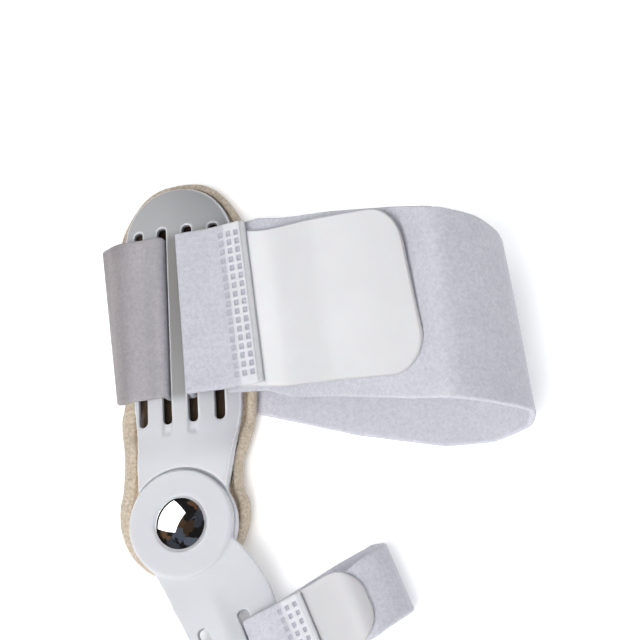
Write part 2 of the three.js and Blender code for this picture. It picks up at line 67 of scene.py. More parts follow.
footPlate = {
    "thickness": 2.5, "half": 17.4, "reach": 106.5, "crown": 50, "neckRise": 1.6, "heelFall": 3,
    "slots": 4, "slotWidth": 2.9, "slotPitch": 8.1, "slotStart": 31, "slotLength": 62.2,
    "knuckle": 16.6, "recess": 16.9, "bore": 2.7,
    "voxel": 0.42, "softening": 5,
    "palest": 0.70, "heelShadeTone": 0.40,  # painted shade, the tone falls off towards the heel
    "grooveSlots": (1, 2), "grooveLength": 4.4, "grooveDepth": 0.6,  # shallow grooves run on past two slots
    "notchAngle": 118, "notchWidth": 0.8,  # moulding notch in the rim round the hub
    "sides": (  # at is a share of reach, left and right are shares of half
        ("at", "left", "right"),
        (0.1, 0.77, 0.81), (0.14, 0.77, 0.87), (0.22, 0.79, 0.96), (0.32, 0.86, 1.05), (0.5, 0.95, 1.05),
        (0.72, 0.98, 1.03), (0.86, 0.97, 1.01), (0.92, 0.84, 0.87), (0.97, 0.58, 0.6), (0.995, 0.24, 0.26),
    ),
}

toePlate = {
    "turn": 20, "thickness": 2.5, "half": 14, "reach": 72, "crown": 50, "fall": 1.8,
    "slotWidth": 3.4, "slotSpread": 13.2, "slotStart": 30.4, "slotLength": 26.9,
    "disc": 16.1, "chamfer": 0.7, "seat": 8.3, "seatDepth": 0.8, "bore": 2.7, "armClear": 17.2,
    "voxel": 0.4, "softening": 5, "spineRise": 0.9, "spineHalf": 3.6,
    "sides": (
        ("at", "left", "right"),
        (0.12, 0.96, 0.86), (0.16, 0.92, 0.95), (0.23, 0.87, 1.09), (0.3, 0.84, 1.18), (0.38, 0.82, 1.2),
        (0.46, 0.81, 1.14), (0.6, 0.81, 1.04), (0.78, 0.79, 0.96), (0.89, 0.65, 0.78), (0.96, 0.38, 0.5),
        (0.995, 0.08, 0.18),
    ),
}

rivet = {
    "radius": 7.75, "height": 3.2, "rim": 0.5, "shank": 2.4, "tail": 5, "tailThickness": 1.2,
}

pad = {
    "margin": 3.6, "hubRadius": 20.6, "hubX": -1.9, "hubY": 4.6, "hubFrom": -208, "hubTo": 20,
    "edge": 3.8, "hubEdge": 6, "roll": 1.8, "seam": 2.9, "seamDepth": 1.2, "seamHalf": 0.5,
    "leftRoll": 1.4, "leftSeam": 2.3, "count": 380, "start": 0.4, "sunk": 2.4, "under": 0.15,
    "voxel": 2.2, "frames": 12, "cap": 0.5, "clothScale": 0.01, "neighbours": 45, "blur": 5,
    "cloth": {
        "quality": 8, "mass": 0.3, "tension_stiffness": 40, "compression_stiffness": 40,
        "shear_stiffness": 20, "bending_stiffness": 2, "shrink_min": -0.05, "use_pressure": True,
        "uniform_pressure_force": 0.5,
    },
    "leftSwell": ((-20, -0.2), (5, 0), (12, 0.5), (15.5, 1.4), (22, 3.1), (31, 3.5), (36, 2.8), (43, 0.4),
                  (50, 0), (94, 0), (112, -0.9)),
    "rightSwell": ((-20, 0), (8, 0.2), (14, -0.7), (18, -1.9), (28, -0.5), (40, 0.1), (90, 0), (112, -0.9)),
}


def smoothStep(value, low, high):
    share = np.clip((np.asarray(value, float) - low) / (high - low), 0, 1)
    return share * share * (3 - 2 * share)


def crownDrop(x, radius):
    return radius - np.sqrt(radius * radius - np.square(x))


def plateDrop(x, y):  # how far the foot plate's face lies below its highest level
    heel = footPlate["heelFall"] * np.square(np.maximum(0, (y / footPlate["reach"] - 0.83) / 0.17))
    return crownDrop(x, footPlate["crown"]) * smoothStep(y, 14.5, 37) + heel


def armDrop(v, u):
    slope = smoothStep(u, toePlate["disc"] + 5, toePlate["slotStart"] + 3)
    return (toePlate["fall"] + crownDrop(v, toePlate["crown"])) * slope


def tableOf(rows):  # rows under their column names, as dictionaries
    return [dict(zip(rows[0], row)) for row in rows[1:]]


def smoothLine(points, count, closed=False):  # evenly spaced points on a smooth curve through a few
    knots = [np.array(p, float) for p in points]
    if closed:
        knots = [knots[-1], *knots, knots[0], knots[1]]
    else:
        knots = [2 * knots[0] - knots[1], *knots, 2 * knots[-1] - knots[-2]]
    fine = []
    for a, b, c, d in zip(knots, knots[1:], knots[2:], knots[3:]):
        before, span, after = (math.sqrt(np.linalg.norm(q - p)) for p, q in ((a, b), (b, c), (c, d)))
        start = ((b - a) / before - (c - a) / (before + span) + (c - b) / span) * span
        end = ((c - b) / span - (d - b) / (span + after) + (d - c) / after) * span
        for t in np.arange(0, 1, 0.05):
            cubic = (2 * b - 2 * c + start + end) * t**3
            square = (3 * c - 3 * b - 2 * start - end) * t**2
            fine.append(cubic + square + start * t + b)
    fine.append(knots[-2])
    fine = np.array(fine)
    length = np.concatenate([[0], np.cumsum(np.linalg.norm(np.diff(fine, axis=0), axis=1))])
    wanted = np.linspace(0, length[-1], count + 1)
    return np.column_stack([np.interp(wanted, length, fine[:, k]) for k in (0, 1)])


def newObject(name, points, faces):
    mesh = bpy.data.meshes.new(name)
    mesh.from_pydata([tuple(map(float, p)) for p in points], [], faces)
    mesh.update()
    obj = bpy.data.objects.new(name, mesh)
    bpy.context.scene.collection.objects.link(obj)
    return obj


def settle(obj):  # the modifiers' result becomes the object's own mesh
    bpy.context.view_layer.update()
    evaluated = obj.evaluated_get(bpy.context.evaluated_depsgraph_get())
    mesh = bpy.data.meshes.new_from_object(evaluated)
    obj.modifiers.clear()
    old = obj.data
    obj.data = mesh
    bpy.data.meshes.remove(old)
    mesh.name = obj.name
    return obj


def getPoints(obj):
    points = np.empty(len(obj.data.vertices) * 3)
    obj.data.vertices.foreach_get("co", points)
    return points.reshape(-1, 3)


def setPoints(obj, points):
    obj.data.vertices.foreach_set("co", np.ascontiguousarray(points, np.float32).ravel())
    obj.data.update()


def mark(obj, name, values):  # one number a vertex, for the materials
    layer = obj.data.attributes.new(name, "FLOAT", "POINT")
    layer.data.foreach_set("value", np.ascontiguousarray(values, np.float32).ravel())


def markPaintedLight(obj, amount=1.0, barShade=1.0):  # painted highlight where the moulding turns over an edge, and painted shade on the middle bar where the strap runs
    normals = np.empty(len(obj.data.vertices) * 3)
    obj.data.vertices.foreach_get("normal", normals)
    upward = normals.reshape(-1, 3)[:, 2]
    # painted highlight on the edges that turn over
    mark(obj, "rim", amount * smoothStep(upward, 0.25, 0.6) * (1 - smoothStep(upward, 0.86, 0.985)))
    x, y = getPoints(obj)[:, :2].T
    reach = mainStrap["width"] / 2
    beside = smoothStep(np.abs(y - mainStrap["middle"]), reach - 2, reach + 2)
    # painted shade on the bar between the middle slots, under the strap's width
    mark(obj, "bar_shade", barShade * (1 - smoothStep(np.abs(x), 3, 6)) * (1 - beside))


def placeOnFrame(obj, toe=False):  # from millimetres round the hub to metres in the frame
    turn = Matrix.Rotation(math.radians(toePlate["turn"]), 4, "Z")
    flip = Matrix.Diagonal((1, -1, 1, 1))  # the toe pieces are drawn towards +y and lie towards -y
    local = turn @ flip if toe else Matrix.Identity(4)
    obj.data.transform(Matrix.Translation(hubPoint) @ Matrix.Scale(mm, 4) @ local)
    if toe:
        obj.data.flip_normals()
    obj.data.shade_smooth()
    return obj


def ringFaces(rings, count):  # the faces between rings of points that follow one another
    return [(a + i, a + (i + 1) % count, a + count + (i + 1) % count, a + count + i)
            for a in range(0, (rings - 1) * count, count) for i in range(count)]


def prism(name, outline, low, high, along="z"):  # outline runs anticlockwise, seen against the axis
    count = len(outline)
    if along == "z":
        points = [(x, y, z) for z in (low, high) for x, y in outline]
    else:
        points = [(x, y, z) for x in (low, high) for y, z in outline]
    faces = [tuple(range(count))[::-1], tuple(range(count, 2 * count)), *ringFaces(2, count)]
    return newObject(name, points, faces)


def turned(name, profile, turns=128):  # profile points are (radius, height), from the axis back to it
    angles = np.linspace(0, 2 * math.pi, turns, endpoint=False)
    points, rings = [], []
    for radius, height in profile:
        if radius < 1e-6:
            rings.append([len(points)] * turns)
            points.append((0, 0, height))
        else:
            rings.append(list(range(len(points), len(points) + turns)))
            points += [(radius * math.cos(a), radius * math.sin(a), height) for a in angles]
    faces = []
    for low, high in zip(rings, rings[1:]):
        for i in range(turns):
            k = (i + 1) % turns
            face = []
            for corner in (low[i], low[k], high[k], high[i]):
                if corner not in face:
                    face.append(corner)
            faces.append(tuple(face))
    return newObject(name, points, faces)


def disc(radius, low, high):
    return turned("tool", [(0, low), (radius, low), (radius, high), (0, high)])


def longHole(x, y, width, length, low, high):
    corner = width * 0.4
    outline = []
    for cx, cy, start in ((1, -1, -90), (1, 1, 0), (-1, 1, 90), (-1, -1, 180)):
        for degrees in range(start, start + 91, 15):
            angle = math.radians(degrees)
            outline.append((
                x + cx * (width / 2 - corner) + corner * math.cos(angle),
                y + length / 2 + cy * (length / 2 - corner) + corner * math.sin(angle),
            ))
    return prism("tool", outline, low, high)


def combine(obj, tool, operation):
    modifier = obj.modifiers.new("combine", "BOOLEAN")
    modifier.object = tool
    modifier.operation = operation
    modifier.solver = "EXACT"
    settle(obj)
    bpy.data.objects.remove(tool)


def mouldSkin(obj, voxel, softening):  # one even skin with softly rounded edges, as moulded plastic has
    skin = obj.modifiers.new("skin", "REMESH")
    skin.mode = "VOXEL"
    skin.voxel_size = voxel
    soften = obj.modifiers.new("soften", "SMOOTH")
    soften.factor = 0.5
    soften.iterations = softening
    settle(obj)


def sideLine(sizes, grow=0.0):  # the right side up to the tip and the left side back down
    right, left = [], []
    for row in tableOf(sizes["sides"]):
        heel = float(smoothStep(row["at"], 0.84, 1))
        y = row["at"] * sizes["reach"] + grow * heel
        right.append((row["right"] * sizes["half"] + grow * (1 - heel * 0.6), y))
        left.append((-row["left"] * sizes["half"] - grow * (1 - heel * 0.6), y))
    return right, left[::-1]


def plateOutline(sizes, count):
    right, left = sideLine(sizes)
    return [(right[0][0], 0), *smoothLine([*right, *left], count), (left[-1][0], 0)]


def makeFootPlate():
    p = footPlate
    full = p["thickness"] + p["neckRise"]
    plate = prism("foot_plate_shell", plateOutline(p, 220), 0, full)
    ys = np.linspace(-4, p["reach"] + 4, 150)
    face = p["thickness"] + p["neckRise"] * (1 - smoothStep(ys, p["knuckle"] + 1.5, p["slotStart"] - 2))
    above = [(ys[0], full + 2), *zip(ys, face), (ys[-1], full + 2)]
    combine(plate, prism("tool", above, -40, 40, along="x"), "DIFFERENCE")
    combine(plate, disc(p["recess"], p["thickness"], full + 2), "DIFFERENCE")
    combine(plate, disc(p["knuckle"], 0, p["thickness"]), "UNION")
    combine(plate, disc(p["bore"], -1, full + 2), "DIFFERENCE")
    angle = math.radians(p["notchAngle"])
    notch = longHole(0, p["recess"] - 1, p["notchWidth"], 2.2, p["thickness"] + 0.3, full + 2)
    notch.data.transform(Matrix.Rotation(angle - math.pi / 2, 4, "Z"))
    combine(plate, notch, "DIFFERENCE")
    slotsAt = [(i - (p["slots"] - 1) / 2) * p["slotPitch"] for i in range(p["slots"])]
    for x in slotsAt:
        slot = longHole(x, p["slotStart"], p["slotWidth"], p["slotLength"], -1, full + 2)
        combine(plate, slot, "DIFFERENCE")
    mouldSkin(plate, p["voxel"], p["softening"])
    markPaintedLight(plate)
    points = getPoints(plate)
    x, y, z = points.T
    upper = smoothStep(z, p["thickness"] * 0.5, p["thickness"])
    for i in p["grooveSlots"]:
        across = 1 - smoothStep(np.abs(x - slotsAt[i]), p["slotWidth"] * 0.35, p["slotWidth"] * 0.62)
        start = p["slotStart"] - p["grooveLength"]
        along = smoothStep(y, start, start + 2.2) * (y < p["slotStart"] + 2)
        points[:, 2] -= p["grooveDepth"] * upper * across * along
    points[:, 2] += stack["plateBottom"] - plateDrop(x, y)
    setPoints(plate, points)
    return placeOnFrame(plate)


def makeToePlate():
    p = toePlate
    low = stack["armTop"] - p["thickness"]
    plate = prism("toe_plate_shell", plateOutline(p, 200), low, stack["armTop"])
    combine(plate, disc(p["armClear"], 0, stack["hubBottom"]), "DIFFERENCE")
    top, c = stack["hubTop"], p["chamfer"]
    profile = [(0, stack["hubBottom"]), (p["disc"], stack["hubBottom"]), (p["disc"], top - c)]
    profile += [(p["disc"] - c * 0.35, top - c * 0.3), (p["disc"] - c, top), (0, top)]
    combine(plate, turned("tool", profile), "UNION")
    combine(plate, disc(p["seat"], top - p["seatDepth"], top + 2), "DIFFERENCE")
    combine(plate, disc(p["bore"], 0, top + 2), "DIFFERENCE")
    for side in (-0.5, 0.5):
        hole = longHole(side * p["slotSpread"], p["slotStart"], p["slotWidth"], p["slotLength"], 0, top + 2)
        combine(plate, hole, "DIFFERENCE")
    mouldSkin(plate, p["voxel"], p["softening"])
    markPaintedLight(plate, 0.45, 0)
    points = getPoints(plate)
    spine = np.exp(-np.square(points[:, 0] / p["spineHalf"]))
    spine = spine * smoothStep(points[:, 1], p["disc"] + 3, p["slotStart"])
    points[:, 2] += p["spineRise"] * spine - armDrop(points[:, 0], points[:, 1])
    setPoints(plate, points)
    return placeOnFrame(plate, toe=True)


def makeRivet():
    r = rivet
    tailTop = stack["plateBottom"] - stack["clearance"]
    low = tailTop - r["tailThickness"]
    seat = stack["hubTop"] - toePlate["seatDepth"] + stack["clearance"]
    cap = r["height"] - r["rim"]
    capRadius = (r["radius"] ** 2 + cap * cap) / (2 * cap)
    profile = [(0, low), (r["tail"] - 0.3, low), (r["tail"], low + 0.3), (r["tail"], tailTop)]
    profile.append((r["shank"], tailTop))
    profile += [(r["shank"], seat), (r["radius"] - 0.25, seat), (r["radius"], seat + 0.2)]
    full = math.asin(r["radius"] / capRadius)
    for share in np.linspace(1, 0, 24):
        angle = full * share
        profile.append((capRadius * math.sin(angle), seat + r["height"] - capRadius * (1 - math.cos(angle))))
    return placeOnFrame(turned("rivet_dome", profile))


# Pad: a stuffed velour cushion, rounded round the hub and following the plate

def rightness(x):  # 0 on the pad's left side and 1 on its right
    return smoothStep(x, -8, 8)


def padOutline(count):
    right, left = sideLine(footPlate, pad["margin"])
    arc = []
    for angle in np.radians(np.linspace(pad["hubFrom"], pad["hubTo"], 15)):
        out = (math.cos(angle), math.sin(angle))
        arc.append((pad["hubX"] + pad["hubRadius"] * out[0], pad["hubY"] + pad["hubRadius"] * out[1]))
    above = pad["hubY"] + pad["hubRadius"] * 0.78
    points = [*arc, *(p for p in right if p[1] > above), *(p for p in left if p[1] > above)]
    line = smoothLine(points, count, closed=True)[:-1]
    out = outwardOf(line)
    left, right = (np.interp(line[:, 1], *np.array(pad[side]).T) for side in ("leftSwell", "rightSwell"))
    swell = left + (right - left) * rightness(line[:, 0])
    return line + out * (swell - pad["start"])[:, None]


def outwardOf(line):
    ahead = np.roll(line, -2, axis=0) - np.roll(line, 2, axis=0)
    out = np.column_stack([ahead[:, 1], -ahead[:, 0]])
    return out / np.linalg.norm(out, axis=1, keepdims=True)


def padEdgeHeight(y):
    hub = 1 - smoothStep(y, pad["hubY"] + pad["hubRadius"], footPlate["slotStart"])
    return pad["edge"] + (pad["hubEdge"] - pad["edge"]) * hub


def padRoof(x, y):  # the highest that the pad may reach, under the plate
    widest = footPlate["half"] * 1.05
    face = stack["plateTop"] - plateDrop(np.clip(x, -widest, widest), y)
    return face - footPlate["thickness"] - stack["clearance"] * 1.6


def coverDepth(x, y):  # how far inside the plates' outlines a place lies
    right, left = (np.array(side) for side in sideLine(footPlate))
    toRight = np.interp(y, right[:, 1], right[:, 0]) - x
    toLeft = x - np.interp(y, left[::-1, 1], left[::-1, 0])
    inPlate = np.minimum(np.minimum(toRight, toLeft), footPlate["reach"] - y)
    inPlate = np.where(y > right[0][1], inPlate, -1)
    return np.maximum(inPlate, toePlate["disc"] - 2 - np.hypot(x, y))


def makePad():
    outline = padOutline(pad["count"])
    out = outwardOf(outline)
    leftness = 1 - rightness(outline[:, 0])
    roll = pad["roll"] + pad["leftRoll"] * leftness
    seam = pad["seam"] + pad["leftSeam"] * leftness
    inner = seam + 2
    base = outline - out * inner[:, None]
    spine = np.column_stack([
        np.zeros(len(base)), np.clip(base[:, 1], pad["hubY"], footPlate["reach"] - footPlate["half"])])
    low = stack["padLow"]
    top = low + padEdgeHeight(outline[:, 1])
    rings = []

    def ring(flat, height):
        rings.append(np.column_stack([flat, np.broadcast_to(height, len(flat))]))

    for share in (0.3, 0.6, 0.85, 1):
        ring(spine + (base - spine) * share, low)
    for share in np.linspace(1, 0, 6)[1:-1]:
        ring(outline - out * (roll + (inner - roll) * share)[:, None], low)
    for angle in np.radians(np.linspace(-90, 90, 21)):  # the rolled edge
        side = outline - out * (roll * (1 - math.cos(angle)))[:, None]
        ring(side, (low + top) / 2 + (top - low) / 2 * math.sin(angle))
    roof = padRoof(base[:, 0], base[:, 1]) - pad["under"]
    for share in np.linspace(0, 1, 24)[1:]:  # the seam, and the top cover inside it
        inset = roll + (inner - roll) * share
        rise = smoothStep(inset - seam, 0.1, 1.1)
        groove = pad["seamDepth"] * np.exp(-np.square((inset - seam) / pad["seamHalf"]))
        height = (top - 0.35 * smoothStep(inset, roll, seam)) * (1 - rise) + roof * rise - groove
        ring(outline - out * inset[:, None], height)
    for share in np.linspace(1, 0.12, 12)[1:]:
        flat = spine + (base - spine) * share
        sunk = pad["sunk"] * float(smoothStep(1 - share, 0, 0.3))
        ring(flat, padRoof(flat[:, 0], flat[:, 1]) - pad["under"] - sunk)
    count = len(outline)
    last = (len(rings) - 1) * count
    faces = [tuple(range(count))[::-1], *ringFaces(len(rings), count), tuple(range(last, last + count))]
    cushion = newObject("pad_cushion", np.concatenate(rings), faces)
    swellPad(cushion)
    limitPad(cushion)
    x, y, z = getPoints(cushion).T
    # painted shadow where the plates cover the pad
    mark(cushion, "plate_shadow", smoothStep(coverDepth(x, y), 0.4, 1.8) * (z > stack["padBottom"] + 2))
    return placeOnFrame(cushion)


def swellPad(cushion):  # a coarse copy is blown up as cloth, and the fine cushion follows it
    coarse = bpy.data.objects.new("swelling", cushion.data.copy())
    bpy.context.scene.collection.objects.link(coarse)
    skin = coarse.modifiers.new("skin", "REMESH")
    skin.mode = "VOXEL"
    skin.voxel_size = pad["voxel"]
    settle(coarse)
    before = getPoints(coarse)
    setPoints(coarse, before * pad["clothScale"])
    cloth = coarse.modifiers.new("swell", "CLOTH")
    for name, value in pad["cloth"].items():
        setattr(cloth.settings, name, value)
    cloth.settings.effector_weights.gravity = 0
    cloth.point_cache.frame_start = 1
    cloth.point_cache.frame_end = pad["frames"]
    for step in range(1, pad["frames"] + 1):
        bpy.context.scene.frame_set(step)
    settle(coarse)
    bpy.context.scene.frame_set(1)
    moved = getPoints(coarse) / pad["clothScale"] - before
    tree = kdtree.KDTree(len(before))
    for i, point in enumerate(before):
        tree.insert(point, i)
    tree.balance()
    points = getPoints(cushion)
    shift = np.empty_like(points)
    for i, point in enumerate(points):
        near = [hit[1:] for hit in tree.find_n(point, pad["neighbours"])]  # index and distance
        weights = np.array([1 / (away + pad["blur"]) ** 2 for index, away in near])
        shift[i] = weights @ moved[[index for index, away in near]] / weights.sum()
    far = np.linalg.norm(shift, axis=1, keepdims=True)
    print("pad swells by", round(float(far.mean()), 2), "mm,", round(float(far.max()), 2), "at most")
    setPoints(cushion, points + shift * np.minimum(1, pad["cap"] / np.maximum(far, 1e-6)))
    bpy.data.objects.remove(coarse)


def limitPad(cushion):  # flat where it rests, and under the plate and the strap where they press it
    points = getPoints(cushion)
    x, y, z = points.T
    roof = padRoof(x, y) - 0.05
    bar = footPlate["slotPitch"] / 2 + footPlate["slotWidth"]
    underStrap = (np.abs(x) < bar) & (np.abs(y - mainStrap["middle"]) < mainStrap["width"] * 0.53)
    strapRoof = stack["plateBottom"] - stack["strap"] - 1.0
    underTail = np.hypot(x, y) < rivet["tail"] + 0.6
    tailRoof = stack["plateBottom"] - rivet["tailThickness"] - 0.7
    roof = np.where(underStrap, np.minimum(roof, strapRoof), roof)
    roof = np.where(underTail, np.minimum(roof, tailRoof), roof)
    points[:, 2] = np.clip(z, stack["padLow"], roof)
    setPoints(cushion, points)


# Straps: a band swept along straight runs and round bends, with rounded edges

spanned = 0.98  # share of its width that a strap spans where its rows say -0.49 and 0.49
loopColumns = ("across", "rise", "bend", "low", "high", "lean")
ripples = ((1, 17, 2.1, 0), (0.6, 9.3, -3.4, 1))  # height, length, skew and start of the cloth's waves
mainStrap = {
    "width": 52, "middle": 64.3, "reach": 108, "height": 46, "slotRight": 4.05, "slotLeft": -4.05,
    "endStart": 15.5, "endTip": 28.5, "endLean": -3.8, "endSlope": 0.27, "lastLow": -0.53, "lastHigh": 0.51,
    "edge": 0.75, "end": 0.7, "step": 1.4, "wave": 0.28, "bulge": (-0.4, 0.9, 3, -1.8),
    "leftShade": (0.62, 0.42),  # painted shade on the cloth from the slot on, and how much more at the side
    "weld": {"columns": 3, "rows": 17, "pitch": 2.75, "first": 2.9, "columnPitch": 2.75, "wide": 1.8,
             "tall": 1.95, "depth": 0.6, "shallow": (1.0, 0.85, 0.42), "flange": 1.6, "flangeDepth": 0.6,
             "flangeShade": 0.8},
    "loop": (
        loopColumns,
        (-0.1, 0, 4, -0.49, 0.49, 0), (0.2, 0, 30, -0.6, 0.44, 0), (0.48, 0, 30, -0.79, 0.25, 0),
        (0.72, 0, 26, -0.91, 0.13, 0), (0.86, 0.07, 22, -0.93, 0.11, 0), (0.975, 0.32, 12, -0.91, 0.12, -5),
        (1, 0.53, 11, -0.87, 0.14, -6), (0.935, 0.85, 30, -0.87, 0.18, -3.4),
        (0.83, 1.05, 5.5, -0.85, 0.2, -1.6),
        (0.7, 0.88, 40, -0.79, 0.28, 0), (0.5, 0.62, 40, -0.68, 0.39, 0), (0.33, 0.34, 30, -0.59, 0.48, 0),
    ),
}
toeStrap = {
    "width": 21.5, "middle": 44.3, "reach": 50, "height": 19, "slotRight": 6.6, "slotLeft": -6.6,
    "endStart": 16.5, "endTip": 25.5, "endLean": 0, "endSlope": 0.16, "lastLow": -0.5, "lastHigh": 0.5,
    "edge": 0.75, "end": 0.7, "step": 0.9, "wave": 0.12, "bulge": (1.5, 0.5, 5, 0),
    "leftShade": (0, 0),
    "weld": {"columns": 3, "rows": 7, "pitch": 2.6, "first": 2.6, "columnPitch": 2.5, "wide": 1.35,
             "tall": 1.6, "depth": 0.5, "shallow": (1.0, 0.85, 0.5), "flange": 1.2, "flangeDepth": 0.25,
             "flangeShade": 0.25},
    "loop": (
        loopColumns,
        (-0.16, 0, 3, -0.52, 0.48, 0), (0.25, 0, 20, -0.62, 0.4, 0), (0.7, 0, 12, -0.75, 0.36, 0),
        (0.95, 0.05, 6, -0.78, 0.3, 0), (1.04, 0.32, 5, -0.68, 0.31, 0), (0.99, 0.72, 9, -0.6, 0.38, 0),
        (0.82, 1.02, 12, -0.46, 0.5, 0),
    ),
}
mainTab = {
    "lap": 8, "length": 62, "width": 49, "corner": 12, "skew": -0.17, "thickness": 1.2, "edge": 0.45,
    "gap": 0.14, "tabShade": (0, 1),  # painted shade, greyer from the weld to the tip
}
toeTab = {
    "lap": 7, "length": 19, "width": 22, "corner": 9, "skew": 0, "thickness": 1.2, "edge": 0.45,
    "gap": 0.14, "tabShade": (1, 1),
}


def footFace(x):
    return stack["plateTop"] - float(plateDrop(x, mainStrap["middle"]))


def armFace(v):
    return stack["armTop"] - float(armDrop(v, toeStrap["middle"]))


def mainWrap():  # over the plate's left side and round the pad
    side = -(footPlate["half"] * 0.96 + pad["margin"] + stack["clearance"] * 2 + stack["strap"] / 2)
    return [
        (-footPlate["half"] * 0.62, footFace(11) + 1.6, 30, -0.49, 0.49, 0),
        (-footPlate["half"] + 0.4, footFace(17) + 2, 8, -0.485, 0.5, -1.6),
        (side + 0.3, stack["padBottom"] + pad["edge"] + 0.3, 4, -0.47, 0.5, -3.8),
        (side + 0.6, stack["padBottom"] - 0.2, 2.4, -0.45, 0.5, -3.2),
        (side + 3, stack["strap"] / 2, 2.4, -0.45, 0.5, -0.6),
    ]


def toeWrap():
    return [
        (-toePlate["half"] * 0.7, armFace(10) + 1.9, 3, -0.5, 0.5, 0),
        (-toePlate["half"] * 1.03, armFace(11), 2.6, -0.5, 0.5, 0),
        (-toePlate["half"] * 1.05, stack["strap"] / 2 + 2.4, 3, -0.5, 0.5, 0),
    ]


def strapRows(s, face, wrap, endBase):  # x, z, bend radius, low edge, high edge, lean
    half, gap = stack["strap"] / 2, stack["clearance"]
    over = face(s["slotRight"]) + gap + half
    behind = face(s["slotRight"]) - footPlate["thickness"] - gap - half
    underStart, underTip = endBase, endBase + (s["endTip"] - s["endStart"]) * s["endSlope"]
    lift = stack["strap"] + mainTab["thickness"] + gap * 1.4  # the strap's end lies on the tab
    rows = [
        (s["endTip"], underTip + lift, 1, -0.49, 0.49, s["endLean"]),
        (s["endStart"], underStart + lift, 8, -0.49, 0.49, s["endLean"]),
        (s["slotRight"] + s["bulge"][0], over + s["bulge"][1], s["bulge"][2], -0.49, 0.49, s["bulge"][3]),
        (s["slotRight"], over + 0.1, 1.3, -0.49, 0.49, 0),
        (s["slotRight"], behind, 1.3, -0.49, 0.49, 0),
        (s["slotLeft"], behind, 1.3, -0.49, 0.49, 0),
        (s["slotLeft"], over + 0.2, 1.3, -0.49, 0.49, 0),
        *wrap,
    ]
    for row in tableOf(s["loop"]):
        z = half + row["rise"] * (s["height"] - stack["strap"])
        rows.append((row["across"] * s["reach"], z, row["bend"], row["low"], row["high"], row["lean"]))
    rows.append((s["endTip"], underTip, 12, s["lastLow"], s["lastHigh"], 0))
    rows.append((s["endStart"], underStart, 3, -0.5, 0.5, 0))
    return [(x, z, bend, s["middle"] + low * s["width"], s["middle"] + high * s["width"], lean)
            for x, z, bend, low, high, lean in rows]


def bentPath(rows, turnStep=0.14):  # columns x, z, low, high, lean
    spots = [np.array([row[0], row[1]], float) for row in rows]
    edges = [np.array(row[3:], float) for row in rows]
    samples = [np.concatenate([spots[0], edges[0]])]
    for i in range(1, len(rows) - 1):
        back, ahead = spots[i - 1] - spots[i], spots[i + 1] - spots[i]
        backLength, aheadLength = np.linalg.norm(back), np.linalg.norm(ahead)
        cosine = back @ ahead / (backLength * aheadLength)
        turn = math.pi - math.acos(max(-1.0, min(1.0, cosine)))
        cut = min(rows[i][2] * math.tan(turn / 2), backLength * 0.49, aheadLength * 0.49)
        start, end = spots[i] + back / backLength * cut, spots[i] + ahead / aheadLength * cut
        for t in np.linspace(0, 1, max(2, math.ceil(turn / turnStep)) + 1):
            spot = (1 - t) ** 2 * start + 2 * t * (1 - t) * spots[i] + t * t * end
            if t < 0.5:
                share = 1 - cut / backLength * (1 - 2 * t)
                edge = edges[i - 1] + (edges[i] - edges[i - 1]) * share
            else:
                edge = edges[i] + (edges[i + 1] - edges[i]) * cut / aheadLength * (2 * t - 1)
            samples.append(np.concatenate([spot, edge]))
    samples.append(np.concatenate([spots[-1], edges[-1]]))
    kept = [samples[0]]
    for sample in samples[1:]:
        if np.hypot(*(sample - kept[-1])[:2]) > 0.05:
            kept.append(sample)
    return np.array(kept)


def runLength(path):
    return np.concatenate([[0], np.cumsum(np.hypot(*np.diff(path[:, :2], axis=0).T))])


class Band:  # maps the way along a path, the place across it and the height over it to a point
    def __init__(self, path):
        self.path = path
        self.length = runLength(path)
        self.total = self.length[-1]

    def at(self, s, column):
        return np.interp(s, self.length, self.path[:, column])

    def points(self, s, t, height):  # height is towards the outside of the loop
        ahead, behind = np.minimum(s + 0.25, self.total), np.maximum(s - 0.25, 0)
        dx, dz = self.at(ahead, 0) - self.at(behind, 0), self.at(ahead, 1) - self.at(behind, 1)
        size = np.hypot(dx, dz)
        low, high, lean = (self.at(s, k) for k in (2, 3, 4))
        x = self.at(s, 0) + lean * t + dz / size * height
        return np.stack([x, low + (high - low) * t, self.at(s, 1) - dx / size * height], axis=-1)


def spacedPlaces(wanted, fixed, edge, total, gap, margin):  # finer where the edge is rounded off
    for angle in np.radians((0, 25, 50, 75, 90)):
        depth = edge * (1 - math.cos(angle))
        wanted += [depth, total - depth]
    fixed = {round(w, 4) for w in fixed}
    kept = []
    for w in sorted({round(w, 4) for w in wanted if 0 <= w <= total}):
        if kept and w - kept[-1] < gap and margin < w < total - margin:
            if w not in fixed:
                continue
            if kept[-1] not in fixed:
                kept.pop()
        kept.append(w)
    return np.array(kept)


def stationsOf(band, step, extra, end):  # places along the path where the band has a ring
    wanted = list(extra)
    for a, b in zip(band.length, band.length[1:]):
        wanted += list(np.linspace(a, b, max(1, math.ceil((b - a) / step)), endpoint=False))
    return spacedPlaces(wanted, extra, end, band.total, 0.09, 1)


def columnsOf(width, step, extra, edge):  # places across it, as shares of the width
    wanted = list(extra) + list(np.arange(edge, width - edge, step))
    return spacedPlaces(wanted, extra, edge, width, 0.12, edge) / width


def roundEdge(distance, radius):  # share of the full thickness at a distance from the edge
    near = 1 - np.clip(distance / radius, 0, 1)
    return np.sqrt(np.maximum(0, 1 - near * near))


